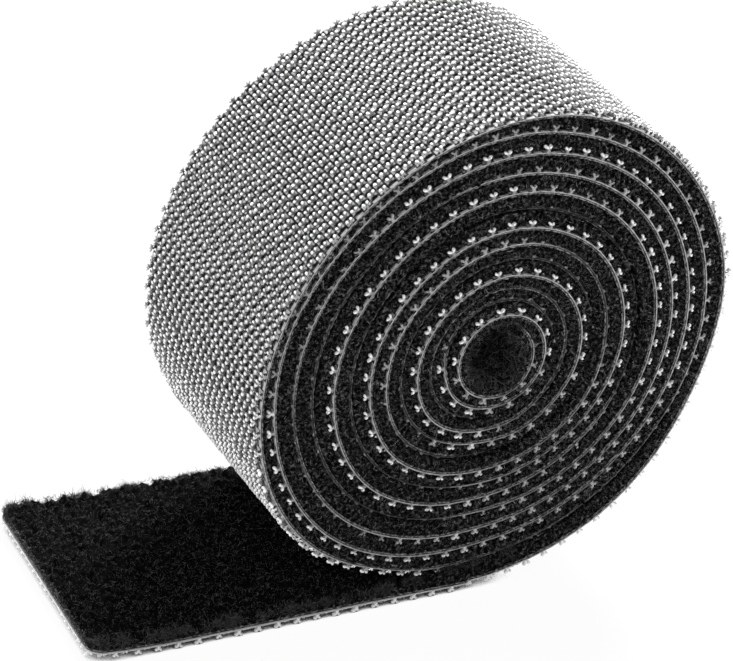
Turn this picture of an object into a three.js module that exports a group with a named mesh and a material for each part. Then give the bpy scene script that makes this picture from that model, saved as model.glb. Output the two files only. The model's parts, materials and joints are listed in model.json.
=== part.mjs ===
// A coreless roll of back-to-back hook and loop tape, standing on edge with its free tail on the table.
// The tape is three layers: a hook strip outside, a thin bond, and a loop strip inside.
// Millimetres, +Z up. The roll's axis is along Y, and the tail runs towards -X.

import * as THREE from 'three';

// Driving dimensions of the tape
const TAPE_WIDTH = 20;
const HOOK_STRIP_THICKNESS = 0.37;
const BOND_THICKNESS = 0.05;
const LOOP_STRIP_THICKNESS = 0.37;

// Driving dimensions of the winding
const BORE_RADIUS = 3;
const TURNS = 13 + 1 / 3;
const GRIP_CLEARANCE = 0.435;
const STEPS_PER_TURN = 24;

// Driving dimensions of the stretches that flex
const LAP_STRETCHES = 9;
const FOOT_REACH = 5;
const TAIL_STRETCHES = 5;
const TAIL_STRETCH_LENGTH = 5;
const TIP_LIFT_DEGREES = 8;
const FLEX_GAP = 0.3;

// Finishes
const HOOK_GREY = 0x8c8c8c;
const HOOK_ROUGHNESS = 0.45;
const BOND_GREY = 0x3a3a3a;
const BOND_ROUGHNESS = 0.6;
const PILE_BLACK = 0x161616;
const PILE_ROUGHNESS = 0.95;

const TAPE_THICKNESS = HOOK_STRIP_THICKNESS + BOND_THICKNESS + LOOP_STRIP_THICKNESS;
const TURN_PITCH = TAPE_THICKNESS + GRIP_CLEARANCE;
const STEP_ANGLE = (2 * Math.PI) / STEPS_PER_TURN;
const SPIRAL_STEPS = Math.round(TURNS * STEPS_PER_TURN);

// Depths below the hook face, from outside to inside
const LAYERS = [
  { name: 'hook_strip', top: 0, depth: HOOK_STRIP_THICKNESS, color: HOOK_GREY, roughness: HOOK_ROUGHNESS },
  { name: 'bond', top: HOOK_STRIP_THICKNESS, depth: BOND_THICKNESS, color: BOND_GREY, roughness: BOND_ROUGHNESS },
  {
    name: 'loop_strip',
    top: HOOK_STRIP_THICKNESS + BOND_THICKNESS,
    depth: LOOP_STRIP_THICKNESS,
    color: PILE_BLACK,
    roughness: PILE_ROUGHNESS,
  },
];

// The hook face seen from the front, as corners in (x, z): the spiral from the bore outwards, then the foot
// and the tail. The spiral ends half a step right of its lowest point, so that the foot lies flat on the table.
function hookFaceLine() {
  const line = [];
  const startRadius = BORE_RADIUS + TAPE_THICKNESS;
  const endRadius = startRadius + (TURN_PITCH * SPIRAL_STEPS) / STEPS_PER_TURN;
  const centreHeight = endRadius * Math.cos(STEP_ANGLE / 2);
  for (let step = 0; step <= SPIRAL_STEPS; step += 1) {
    const angle = STEP_ANGLE / 2 + (SPIRAL_STEPS - step) * STEP_ANGLE;
    const radius = startRadius + (TURN_PITCH * step) / STEPS_PER_TURN;
    line.push(new THREE.Vector2(radius * Math.sin(angle), centreHeight - radius * Math.cos(angle)));
  }
  const corner = new THREE.Vector2(-FOOT_REACH, 0);
  line.push(corner.clone());
  for (let stretch = 1; stretch <= TAIL_STRETCHES; stretch += 1) {
    const lift = stretch === TAIL_STRETCHES ? THREE.MathUtils.degToRad(TIP_LIFT_DEGREES) : 0;
    corner.add(new THREE.Vector2(-Math.cos(lift), Math.sin(lift)).multiplyScalar(TAIL_STRETCH_LENGTH));
    line.push(corner.clone());
  }
  return line;
}

const FACE = hookFaceLine();

// Direction of the stretch from one corner to the next
function heading(index) {
  return FACE[index + 1].clone().sub(FACE[index]).normalize();
}

// A direction turned towards the tape's inside, where the pile is
function inwards(direction) {
  return new THREE.Vector2(direction.y, -direction.x);
}

// The point below a corner of the hook face at a given depth, on the mitre between its two stretches
function below(index, depth) {
  const before = inwards(heading(Math.max(index - 1, 0)));
  const after = inwards(heading(Math.min(index, FACE.length - 2)));
  const mitre = before.clone().add(after).normalize();
  return FACE[index].clone().add(mitre.multiplyScalar(depth / mitre.dot(after)));
}

// The edge line of one layer face from corner to corner, drawn back by half the flex gap where it meets a stretch
function faceLine(first, last, depth) {
  const points = [];
  for (let index = first; index <= last; index += 1) {
    points.push(below(index, depth));
  }
  if (first > 0) {
    points[0].addScaledVector(heading(first), FLEX_GAP / 2);
  }
  if (last < FACE.length - 1) {
    points[points.length - 1].addScaledVector(heading(last - 1), -FLEX_GAP / 2);
  }
  return points;
}

// A closed strip between an outer and an inner edge line, as wide as the tape
function stripGeometry(outer, inner) {
  const positions = [];
  const half = TAPE_WIDTH / 2;
  for (let index = 0; index < outer.length; index += 1) {
    positions.push(outer[index].x, -half, outer[index].y, outer[index].x, half, outer[index].y);
    positions.push(inner[index].x, half, inner[index].y, inner[index].x, -half, inner[index].y);
  }
  const CORNERS = 4;
  const faces = [];
  const quad = (a, b, c, d) => faces.push(a, b, c, a, c, d);
  for (let index = 0; index + 1 < outer.length; index += 1) {
    const near = index * CORNERS;
    const far = near + CORNERS;
    for (let side = 0; side < CORNERS; side += 1) {
      const next = (side + 1) % CORNERS;
      quad(near + side, far + side, far + next, near + next);
    }
  }
  const end = (outer.length - 1) * CORNERS;
  quad(0, 1, 2, 3);
  quad(end + 3, end + 2, end + 1, end);
  const geometry = new THREE.BufferGeometry();
  geometry.setAttribute('position', new THREE.Float32BufferAttribute(positions, 3));
  geometry.setIndex(faces);
  geometry.computeVertexNormals();
  return geometry;
}

// One stretch of tape: its three layers between two corners of the hook face
function stretch(name, first, last) {
  const group = new THREE.Group();
  group.name = name;
  for (const layer of LAYERS) {
    const outer = faceLine(first, last, layer.top);
    const inner = faceLine(first, last, layer.top + layer.depth);
    const material = new THREE.MeshStandardMaterial({ color: layer.color, roughness: layer.roughness, metalness: 0 });
    const mesh = new THREE.Mesh(stripGeometry(outer, inner), material);
    mesh.name = `${layer.name}_${name}`;
    group.add(mesh);
  }
  return group;
}

// Distance from a point to a straight stretch of an edge line
function distanceToSegment(point, start, end) {
  const along = end.clone().sub(start);
  const share = THREE.MathUtils.clamp(point.clone().sub(start).dot(along) / along.lengthSq(), 0, 1);
  return point.distanceTo(start.clone().addScaledVector(along, share));
}

// Least gap between neighbouring turns: from the pile face's corners to the hook face of the turns inside it
function leastTurnGap() {
  let least = Infinity;
  for (let index = STEPS_PER_TURN; index <= SPIRAL_STEPS; index += 1) {
    const pile = below(index, TAPE_THICKNESS);
    for (let other = 0; other < index - STEPS_PER_TURN / 2; other += 1) {
      least = Math.min(least, distanceToSegment(pile, FACE[other], FACE[other + 1]));
    }
  }
  return least;
}

console.log(`Least gap between turns: ${leastTurnGap().toFixed(3)} mm`);

const roll = new THREE.Group();
roll.name = 'hook_and_loop_tape_roll';

const woundEnd = SPIRAL_STEPS - LAP_STRETCHES;
roll.add(stretch('wound', 0, woundEnd));
for (let number = 1; number <= LAP_STRETCHES; number += 1) {
  roll.add(stretch(`lap_${number}`, SPIRAL_STEPS - number, SPIRAL_STEPS - number + 1));
}
roll.add(stretch('foot', SPIRAL_STEPS, SPIRAL_STEPS + 1));
for (let number = 1; number <= TAIL_STRETCHES; number += 1) {
  roll.add(stretch(`tail_${number}`, SPIRAL_STEPS + number, SPIRAL_STEPS + number + 1));
}

// The origin is on the table, under the middle of the whole length
const extent = new THREE.Box3().setFromObject(roll);
roll.position.x = -(extent.min.x + extent.max.x) / 2;

// The bending line between two stretches lies along Y in the middle of the bond
const bendDepth = HOOK_STRIP_THICKNESS + BOND_THICKNESS / 2;
roll.userData.bends = FACE.map((_, index) => below(index, bendDepth))
  .slice(woundEnd, -1)
  .map((point) => [point.x + roll.position.x, 0, point.y]);

export default roll;
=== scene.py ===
"""Looks of a coreless roll of back-to-back hook and loop tape.

The tape is one long strip of three layers: a moulded hook strip outside, a thin bond, and a loop strip with
brushed pile inside. The roll stands on edge with its axis along Y, and its free tail lies towards -X.
"""

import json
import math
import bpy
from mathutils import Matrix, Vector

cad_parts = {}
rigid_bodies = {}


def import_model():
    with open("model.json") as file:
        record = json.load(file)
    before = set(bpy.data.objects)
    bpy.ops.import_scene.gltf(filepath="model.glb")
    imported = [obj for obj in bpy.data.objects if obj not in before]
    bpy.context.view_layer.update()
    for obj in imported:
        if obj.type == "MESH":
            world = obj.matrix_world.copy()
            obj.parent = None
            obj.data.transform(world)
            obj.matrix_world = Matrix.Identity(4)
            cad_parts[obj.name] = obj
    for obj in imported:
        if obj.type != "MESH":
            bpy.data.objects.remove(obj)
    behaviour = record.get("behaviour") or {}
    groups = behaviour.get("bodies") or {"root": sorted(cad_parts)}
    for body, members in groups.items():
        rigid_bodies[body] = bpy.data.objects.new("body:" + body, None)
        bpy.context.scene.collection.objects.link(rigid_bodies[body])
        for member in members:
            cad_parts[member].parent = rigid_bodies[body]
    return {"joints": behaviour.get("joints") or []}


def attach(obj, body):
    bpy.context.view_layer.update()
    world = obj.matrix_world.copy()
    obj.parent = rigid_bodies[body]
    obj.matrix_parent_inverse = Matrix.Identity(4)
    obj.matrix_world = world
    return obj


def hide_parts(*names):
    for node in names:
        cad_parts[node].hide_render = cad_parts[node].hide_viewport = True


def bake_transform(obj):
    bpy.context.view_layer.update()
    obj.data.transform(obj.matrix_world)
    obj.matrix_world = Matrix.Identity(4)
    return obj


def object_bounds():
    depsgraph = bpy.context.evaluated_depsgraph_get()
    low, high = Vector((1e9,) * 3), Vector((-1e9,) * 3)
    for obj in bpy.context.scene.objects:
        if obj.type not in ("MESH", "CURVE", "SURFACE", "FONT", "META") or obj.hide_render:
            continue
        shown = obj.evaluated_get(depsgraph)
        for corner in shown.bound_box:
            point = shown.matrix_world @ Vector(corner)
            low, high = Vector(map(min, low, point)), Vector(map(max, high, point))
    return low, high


bl_info = {
    "name": "Hook and Loop Tape Roll",
    "version": (1, 0, 0),
    "blender": (4, 5, 0),
    "location": "View3D > Sidebar > Tape Roll",
    "description": "Builds a wound roll of hook and loop tape with modelled hooks and pile",
    "category": "Add Mesh",
}

from collections import namedtuple

import bpy
import numpy as np
from bpy.props import FloatProperty, FloatVectorProperty, IntProperty, PointerProperty
from mathutils import Matrix, Vector
from mathutils.geometry import tessellate_polygon

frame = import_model()
CAD_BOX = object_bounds()
JOINTS = {joint["name"]: joint for joint in frame["joints"]}

MM = 0.001
FULL_TURN = 2 * math.pi

# The roll's axis stands over the far end of the foot, a foot's reach from the first bend of the tail
FOOT_REACH = 5 * MM
ROLL_CENTRE_X = JOINTS["tail_curl"]["pos_m"][0] + FOOT_REACH
ROLL_CENTRE_Z = 19.951 * MM

# How far the outermost wound turn is out of round, in millimetres, at degrees from the bottom of the roll;
# the turns inside it are nearer to round
OUT_OF_ROUND = [
    (0, -0.95), (45, -0.9), (90, -0.05), (135, 0.95), (180, 1.15),
    (225, 0.2), (270, 0.65), (315, 1.0), (340, 0.0),
]

# Radius of the film along the outer lap, in millimetres, at degrees from the bottom of the roll
OUTER_LAP = [
    (0, 19.3), (15, 18.95), (35, 19.05), (65, 18.7), (80, 18.85), (100, 19.75),
    (125, 19.9), (155, 20.1), (170, 19.95), (190, 19.25), (215, 18.45), (240, 18.15),
    (265, 18.45), (290, 18.9), (315, 19.1), (345, 17.8), (360, 17.4),
]

# How far the tape stands back from the front, in millimetres, at turns from the bore outwards; where one
# turn stands back behind the next, that one's pile covers its hooks
SET_BACK = [
    (0, 0.3), (0.15, 0.2), (0.25, 0.0), (0.4, 0.1), (1.55, 0.1), (1.7, 0.7), (2.3, 0.7),
    (2.5, 0.5), (3.2, 0.5), (3.3, 0.25), (3.6, 0.1), (4.3, 0.1), (4.5, 0.65), (4.6, 0.45),
    (4.85, 0.45), (4.95, 0.7), (5.3, 0.7), (5.5, 0.4), (5.6, 0.05), (5.85, 0.05), (5.95, 0.4),
    (6.1, 0.4), (6.2, -0.05), (6.45, 0.05), (7.1, 0.05), (7.2, 0.1), (7.35, 0.15), (7.45, 0.6),
    (7.65, 0.45), (7.75, 0.6), (8.1, 0.6), (8.2, 0.1), (8.85, 0.1), (8.92, 0.2), (9.0, -0.1),
    (9.2, -0.1), (9.3, 0.05), (9.45, 0.6), (9.75, 0.6), (9.85, 0.2), (9.97, 0.05), (10.2, 0.0),
    (10.3, 0.1), (10.4, 0.05), (10.55, 0.35), (10.7, 0.35), (10.78, 0.1), (11.25, 0.1), (11.35, 0.2),
    (11.4, 0.05), (11.58, 0.0), (11.65, 0.25), (11.8, 0.2), (12.1, 0.2), (12.18, 0.4), (12.33, 0.4),
    (12.5, 0.1), (12.75, 0.15), (13.1, 0.2), (13.2, 0.1), (13.4, 0.05),
]
SET_BACK_MEAN = 0.1 * MM

# Middle and reach of the lower right part of the wound turns, where painted shade darkens the edges and
# hooks, as angles from the bottom of the roll
LOW_SHADE_MIDDLE = math.radians(35)
LOW_SHADE_REACH = math.radians(60)

# How much of the tail's tip reaches beyond the solid tape
TIP_REACH = 0.45 * MM


def linear(hex_colour):
    """Linear red, green and blue of an sRGB hex colour."""
    channels = [int(hex_colour[i:i + 2], 16) / 255 for i in (1, 3, 5)]
    return [c / 12.92 if c <= 0.04045 else ((c + 0.055) / 1.055) ** 2.4 for c in channels]


def size(name, description, millimetres):
    return FloatProperty(
        name=name, description=description, default=millimetres * MM, unit="LENGTH", precision=5
    )


def angle(name, description, degrees):
    return FloatProperty(name=name, description=description, default=math.radians(degrees), unit="ROTATION")


def count(name, description, number):
    return IntProperty(name=name, description=description, default=number, min=0)


def colour(name, description, hex_colour):
    return FloatVectorProperty(
        name=name, description=description, default=linear(hex_colour), subtype="COLOR", min=0, max=1
    )


class TapeSizes(bpy.types.PropertyGroup):
    """Sizes of the tape's layers and of one hook"""

    width: size("Width", "Width of the tape", 20)
    film: size("Film", "Thickness of the moulded film under the hooks", 0.085)
    bond: size("Bond", "Thickness of the laminating bond", 0.06)
    ground: size("Ground", "Thickness of the knitted ground", 0.09)
    pile: size("Pile", "Height of the brushed pile where nothing presses on it", 0.5)
    hook_height: size("Hook height", "Height of a hook above the film", 0.5)
    hook_depth: size("Hook depth", "Size of a hook across the tape", 0.3)
    hook_pitch: size("Hook pitch", "Distance between hooks along a row", 1.6)
    row_pitch: size("Row pitch", "Usual distance between rows across the tape", 0.43)
    hook_margin: size("Hook margin", "From the tape's edge to the middle of the first row", 0.14)
    end_margin: size("End margin", "From the tape's ends to the nearest hooks", 0.2)
    corner: size("Corner", "Radius of the rounded corners at the free end", 1.3)
    inset: size("Inset", "How far the layers behind the film stand back from its edges on the roll", 0.04)
    ledge: size("Ledge", "How far the layers behind the film stand back from its edges on the tail", 0.14)


class RollSizes(bpy.types.PropertyGroup):
    """Sizes of the winding and of the free tail"""

    turns: FloatProperty(
        name="Turns", description="Turns from the inner end to the lowest point", default=13.354
    )
    bore_radius: size("Bore radius", "Radius of the film at the inner end", 2.84)
    bore_shift: size("Bore shift", "How far the bore lies to the right of the roll's middle", 0.6)
    inner_pitch: size("Inner pitch", "Distance between the innermost turns", 0.9)
    pitch_growth: size("Pitch growth", "How much looser each turn is than the one inside it", 0.057)
    settle: size("Settle", "Run in which the tail comes clear of the roll", 8)
    tip_lift: size("Tip lift", "How far the free end stands up", 0.4)
    tip_run: size("Tip run", "Length of the free end that stands up", 8)
    tip_skew: size("Tip skew", "How far the near corner of the free end stands out beyond its middle", 0.35)


class PileSizes(bpy.types.PropertyGroup):
    """Sizes and counts of the fibres in the pile"""

    relief: size("Relief", "How far the pile's surface is uneven", 0.1)
    recess: size("Recess", "How far the pile stands back from the edges of the wound tape", 0.12)
    tail_recess: size("Tail recess", "How far the pile stands back from the edges of the free tail", 0.2)
    fibre_radius: size("Fibre radius", "Radius of a fibre", 0.02)
    fibre_length: size("Fibre length", "Usual length of a loose fibre", 0.4)
    bore_length: size("Bore fibre length", "Usual length of a fibre that stands into the bore", 0.8)
    tuft_length: size("Tuft length", "Usual length of a fibre in the tufts along the tail's edges", 0.8)
    face_fibres: count("Face fibres", "Fibres on a square millimetre of open pile", 34)
    bore_fibres: count("Bore fibres", "Fibres on a square millimetre of pile in the bore", 25)
    lap_fibres: count("Lap fibres", "Fibres on a square millimetre of pile inside the lap", 12)
    edge_fibres: count("Edge fibres", "Fibres on a millimetre of a wound turn's cut edge", 30)
    tuft_fibres: count("Tuft fibres", "Fibres on a millimetre of the tail's edges", 130)
    tip_fibres: count("Tip fibres", "Fibres on a millimetre of the tail's tip", 60)
    seed: count("Seed", "Seed of the fibres and of the pile's relief", 7)


class Finishes(bpy.types.PropertyGroup):
    """Colours of the materials"""

    # The white of the hooks' tips is a painted highlight
    hook_tip_highlight: colour("Hook tips", "Polypropylene at the tips of the hooks", "#e6e6e6")
    hook_stem: colour("Hook stems", "Polypropylene at the foot of the hooks", "#b8b8b8")
    film_face: colour("Film face", "Film between the hooks", "#a4a4a4")
    film_line: colour("Film line", "Black ground that shows through the film", "#060606")
    film_edge: colour("Film edge", "Cut edge of the film", "#969696")
    bond: colour("Bond", "Laminating bond", "#0c0c0c")
    ground: colour("Ground", "Knitted ground seen at the cut edge", "#808080")
    pile: colour("Pile", "Brushed nylon pile", "#080808")
    pile_edge: colour("Pile edge", "Cut ends of the pile", "#2c2c2c")
    fibre: colour("Fibre", "Loose nylon fibres", "#3a3a3a")
    floor: colour("Floor", "Studio floor", "#f5f5f5")


class StageSizes(bpy.types.PropertyGroup):
    """Camera of the stage"""

    azimuth: angle("Azimuth", "Camera's turn about the vertical, from the front", -29.08)
    elevation: angle("Elevation", "Camera's height above the horizon", 29.54)
    tilt: angle("Tilt", "Camera's roll about its own axis", 5.69)
    distance: size("Distance", "From the camera to its target", 269.3)
    target_x: size("Target X", "Target's place along the tail, from the middle of the part", -0.05)
    target_z: size("Target Z", "Target's height above the table", 17.98)
    lens: FloatProperty(name="Lens", description="Focal length", default=177.51, unit="CAMERA")


class TapeRollSettings(bpy.types.PropertyGroup):
    """All the settings of the tape roll"""

    tape: PointerProperty(type=TapeSizes)
    roll: PointerProperty(type=RollSizes)
    pile: PointerProperty(type=PileSizes)
    finish: PointerProperty(type=Finishes)
    stage: PointerProperty(type=StageSizes)


def smooth(share):
    """A share of the way, eased in and out."""
    share = np.clip(share, 0.0, 1.0)
    return share * share * (3 - 2 * share)


def spaced(start, end, step):
    """Evenly spaced values from start to end, no further apart than step."""
    return np.linspace(start, end, max(2, math.ceil((end - start) / step) + 1))


def waves(length, across, shortest, longest, seed):
    """Uneven values, about -1 to 1: many waves of some range of lengths, one pattern for the whole tape."""
    chance = np.random.default_rng(seed)
    total = np.zeros(np.broadcast(length, across).shape)
    number = 24
    for _ in range(number):
        wavelength = np.exp(chance.uniform(math.log(shortest), math.log(longest)))
        heading, phase = chance.uniform(0, FULL_TURN, 2)
        run = length * math.cos(heading) + across * math.sin(heading)
        total += np.sin(FULL_TURN * run / wavelength + phase)
    return total / math.sqrt(number)


def eased(listed, around, period=None):
    """Sizes at some angles, from a list of degrees and millimetres, eased from one place to the next."""
    places, sizes = zip(*listed)
    ease = 20
    degrees = np.arange(-ease, 360 + ease + 1)
    window = np.hanning(2 * ease + 1)
    between = np.interp(degrees, places, sizes, period=period)
    smoothed = np.convolve(between, window / window.sum(), mode="valid")
    return np.interp(np.degrees(around) % 360, np.arange(361), smoothed) * MM


# Where stretches of tape lie: points on the film's hook side, with the way along it, the distance that the
# tape stands back from the front, the turn, the gap down to the film of the turn inside, how far the tape is
# sheared along its length for each unit across, how far it stands back behind the turn inside it, and how
# far its front and back edges lie behind those of both its neighbours, and behind those of the turn outside
Site = namedtuple("Site", [
    "x", "z", "along_x", "along_z", "set_back", "turn", "gap", "skew", "lead", "front_sunk", "back_sunk",
    "front_under", "back_under",
])


class TapePath:
    """The film's hook side seen from the front, from the inner end of the roll to the tip of the tail."""

    POINTS_PER_TURN = 720
    TAIL_STEP = 0.1 * MM

    # Share of a turn in which the wound turns pass into the outer lap, and run in which the tip is sheared
    LAP_EASE = 0.08
    SKEW_RUN = 4 * MM

    # How far in front of the turn outside it an edge counts that has no turn outside it
    OPEN = 1 * MM

    # Share of a turn, back from its lowest point, in which the bends of the lap lie
    LAP_SHARE = 0.9

    CORNER_POINTS = 9

    def __init__(self, tape, roll):
        turn = np.linspace(0.0, roll.turns, math.ceil(roll.turns * self.POINTS_PER_TURN))
        around = FULL_TURN * (roll.turns - turn)
        outer = turn / roll.turns
        wound = roll.bore_radius + roll.inner_pitch * turn + roll.pitch_growth * turn ** 2 / 2
        wound += eased(OUT_OF_ROUND, around, period=360) * outer
        wound += roll.bore_shift * np.sin(around) * (1 - outer)
        on_lap = smooth((1 - around / FULL_TURN) / self.LAP_EASE)
        radius = wound + (eased(OUTER_LAP, around) - wound) * on_lap
        radius[-1] = ROLL_CENTRE_Z - tape.hook_height
        x = ROLL_CENTRE_X + radius * np.sin(around)
        z = ROLL_CENTRE_Z - radius * np.cos(around)
        gap = radius - np.interp(turn - 1, turn, radius)

        run = spaced(0.0, x[-1] - CAD_BOX[0].x + TIP_REACH, self.TAIL_STEP)[1:]
        lift = roll.tip_lift * np.clip(1 - (run[-1] - run) / roll.tip_run, 0, 1) ** 2
        self.x = np.concatenate([x, x[-1] - run])
        self.z = np.concatenate([z, tape.hook_height + lift])
        self.turn = np.concatenate([turn, np.full(len(run), roll.turns)])
        self.gap = np.concatenate([gap, np.full(len(run), gap[-1])])
        steps = np.hypot(np.diff(self.x), np.diff(self.z))
        self.length = np.concatenate([[0.0], np.cumsum(steps)])
        self.along_x = np.gradient(self.x, self.length)
        self.along_z = np.gradient(self.z, self.length)
        self.spiral_end = self.length[len(turn) - 1]
        self.end = self.length[-1]
        self.turns = roll.turns
        self.settle = roll.settle
        self.half_width = tape.width / 2
        self.corner = tape.corner
        self.skew = -roll.tip_skew / self.half_width * smooth(1 - (self.end - self.length) / self.SKEW_RUN)
        inside, own, outside = [np.interp(self.turn + step, *zip(*SET_BACK)) * MM for step in (-1, 0, 1)]
        wound_share = 1 - self.free(self.length)
        self.set_back = (own - SET_BACK_MEAN) * wound_share
        self.lead = (own - inside) * wound_share
        self.front_sunk = np.maximum(own - np.minimum(inside, outside), 0) * wound_share
        self.back_sunk = np.maximum(np.maximum(inside, outside) - own, 0) * wound_share
        outermost = self.turn > roll.turns - 1
        self.front_under = np.where(outermost, -self.OPEN, own - outside)
        self.back_under = np.where(outermost, -self.OPEN, outside - own)

    def at(self, length):
        """The sites at some lengths along the tape."""
        values = [np.interp(length, self.length, getattr(self, name)) for name in Site._fields]
        return Site(*values)

    def low_shade(self, site):
        """From 0 to 1 over the lower right of the wound turns, whose edges and hooks get painted shade."""
        around = np.arctan2(site.x - ROLL_CENTRE_X, ROLL_CENTRE_Z - site.z)
        lower_right = smooth(1 - np.abs(around - LOW_SHADE_MIDDLE) / LOW_SHADE_REACH)
        return np.where(site.turn < self.turns - 1, lower_right, 0.0)

    def free(self, length):
        """From 0 on the roll to 1 on the tail that lies clear of it."""
        return smooth((length - self.spiral_end) / self.settle)

    def length_at_turn(self, turn):
        return float(np.interp(turn, self.turn[:-1], self.length[:-1]))

    def length_near(self, point):
        """Length along the outer turn and the tail nearest to a point in the frame."""
        outer = self.turn > self.turns - self.LAP_SHARE
        away = np.hypot(self.x - point[0], self.z - point[2])
        return float(self.length[np.argmin(np.where(outer, away, np.inf))])

    def stations(self, start, end, step):
        """Evenly spaced lengths, with a few more round the corners of the free end."""
        even = spaced(start, end, step)
        if end < self.end:
            return even
        turn = np.linspace(0, math.pi / 2, self.CORNER_POINTS)
        corner = self.end - self.corner * (1 - np.sin(turn))
        return np.concatenate([even[even < corner[0]], corner])

    def width_share(self, length):
        """Share of the full width: less only round the corners of the free end."""
        inset = self.corner - np.clip(self.end - length, 0, self.corner)
        lost = self.corner - np.sqrt(self.corner ** 2 - inset ** 2)
        return 1 - lost / self.half_width


def lifted(site, across, height):
    """Points across the tape at some height above the film, towards the hooks."""
    shift = site.skew * across
    x = site.x - site.along_z * height + site.along_x * shift
    z = site.z + site.along_x * height + site.along_z * shift
    return np.stack(np.broadcast_arrays(x, across + site.set_back, z), axis=-1)


def by_row(site):
    """The same sites, one in each row of a grid."""
    return Site(*[value[:, None] for value in site])


# A closed body of a piece: points, faces as (corners, finish number), and each point's tint, its place on an
# unrolled map, and its place on the tape as length, distance across and height
Part = namedtuple("Part", "points faces tint place tape")

# Finish numbers of hooks among the hook strip's materials, and of fibres among the loop strip's
HOOK_FINISH = 0
FIBRE_FINISH = 2

# Faces that meet at more than this have a sharp edge between them
SHARP_ANGLE = math.radians(50)

# Distance of a strip's edges from the middle line of its map: at its top, and how much more at its bottom
MAP_TOP, MAP_STEP = 0.8, 0.15

# Share of a map cell that stays empty beside a fibre, and reach of a hook from the middle of its cell
CELL_MARGIN = 0.1
CELL_REACH = 0.45


def signed_volume(part):
    total = 0.0
    for corners, _ in part.faces:
        at = part.points[corners]
        for k in range(1, corners.shape[1] - 1):
            total += np.einsum("ij,ij->", at[:, 0], np.cross(at[:, k], at[:, k + 1]))
    return total


def make_piece(name, parts, finishes):
    """One mesh object from closed parts, with its faces out, its tints and its maps."""
    corner_lists, sizes, numbers, places = [], [], [], []
    first = 0
    for order, part in enumerate(parts):
        flip = signed_volume(part) < 0
        for corners, finish in part.faces:
            corner_lists.append((corners[:, ::-1] if flip else corners).ravel() + first)
            sizes.append(np.full(len(corners), corners.shape[1]))
            numbers.append(np.full(len(corners), finish))
        places.append((part.place + [0, order]) / [1, len(parts)])
        first += len(part.points)
    corner = np.concatenate(corner_lists)
    corner_counts = np.concatenate(sizes)

    mesh = bpy.data.meshes.new(name)
    mesh.vertices.add(first)
    mesh.vertices.foreach_set("co", np.concatenate([part.points for part in parts]).ravel())
    mesh.loops.add(len(corner))
    mesh.loops.foreach_set("vertex_index", corner)
    mesh.polygons.add(len(corner_counts))
    mesh.polygons.foreach_set("loop_start", np.concatenate([[0], np.cumsum(corner_counts)[:-1]]))
    mesh.polygons.foreach_set("material_index", np.concatenate(numbers))
    mesh.update(calc_edges=True)
    mesh.shade_smooth()
    mesh.set_sharp_from_angle(angle=SHARP_ANGLE)
    tints = np.concatenate([part.tint for part in parts])
    mesh.attributes.new("tint", "FLOAT", "POINT").data.foreach_set("value", tints)
    tapes = np.concatenate([part.tape for part in parts])
    mesh.attributes.new("tape", "FLOAT_VECTOR", "POINT").data.foreach_set("vector", tapes.ravel())
    unrolled = mesh.uv_layers.new(name="OFBake")
    unrolled.uv.foreach_set("vector", np.concatenate(places)[corner].astype(np.float32).ravel())
    for finish in finishes:
        mesh.materials.append(finish)
    piece = bpy.data.objects.new(name, mesh)
    bpy.context.scene.collection.objects.link(piece)
    return piece


def sweep(path, stations, across, height, finishes, end_finish, tint=0.0):
    """A closed strip along the tape, from corners across it and above it, alike or one row per station."""
    across, height = np.broadcast_arrays(across, height)
    shape = (len(stations), across.shape[-1])
    across = np.broadcast_to(across, shape) * path.width_share(stations)[:, None]
    height = np.broadcast_to(height, shape)
    points = lifted(by_row(path.at(stations)), across, height)
    index = np.arange(across.size).reshape(shape)
    faces = []
    for side in range(shape[1]):
        other = (side + 1) % shape[1]
        quad = [index[:-1, side], index[1:, side], index[1:, other], index[:-1, other]]
        faces.append((np.stack(quad, axis=1), finishes[side % len(finishes)]))
    faces.append((index[:1, ::-1], end_finish))
    faces.append((index[-1:], end_finish))
    top, bottom = height.max(), height.min()
    spread = MAP_TOP + MAP_STEP * (top - height) / (top - bottom)
    share = (stations - stations[0]) / (stations[-1] - stations[0])
    aside = 0.5 + 0.5 * spread * np.clip(across / path.half_width, -1, 1)
    place = np.stack([np.broadcast_to(share[:, None], shape), aside], axis=-1)
    tape = np.stack([np.broadcast_to(stations[:, None], shape), across, height], axis=-1)
    tints = np.broadcast_to(tint, shape)
    return Part(points.reshape(-1, 3), faces, tints.ravel(), place.reshape(-1, 2), tape.reshape(-1, 3))


def backing_half(path, tape, stations):
    """Half the width of the layers behind the film, which shows as a ledge beyond them on the tail."""
    return path.half_width - tape.inset - (tape.ledge - tape.inset) * path.free(stations)


def cells(number):
    """Lower corners and size of cells that share out a map among a number of like bodies."""
    side = math.ceil(math.sqrt(number))
    order = np.arange(number)
    return np.stack([order % side, order // side], axis=1) / side, 1 / side


# Tints of hooks, by height, from a dark foot, partly painted shade, to lobes white with a painted highlight:
# from 0 to TOP_TINT in the field, and from SLIT_FOOT to SLIT_TOP beside the slit edges, where the stems are
# a darker grey. Those that fuzz and painted shade cover have one tint, from SLIT_TOP on. Over the top of the
# outer lap, between these shares of a turn before its lowest point, the hooks beside the edges look like
# those in the field. From there on they stand clear of other turns, and their white all over is painted
# light.
TOP_TINT = 0.49
SLIT_FOOT, SLIT_TOP = 0.52, 0.7
LAP_TOP = (0.8, 0.28)

# Range of places behind the next turn's edge in which its fuzz and painted shade come to cover hooks, how
# far they dim them, how far painted shade dims them on the lower right of the turns, and the least that
# shows
FUZZ_RANGE = 0.3 * MM
FUZZ_SHADE = 0.6
HOOK_LOW_SHADE = 0.45
FUZZ_LEAST = 0.1

# Mean and spread of the hooks' size, and spread of their turn about the stem and of their lean, in radians
HOOK_GROWTH = (0.97, 0.06)
HOOK_YAW = 0.08
HOOK_LEAN = 0.07


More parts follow.
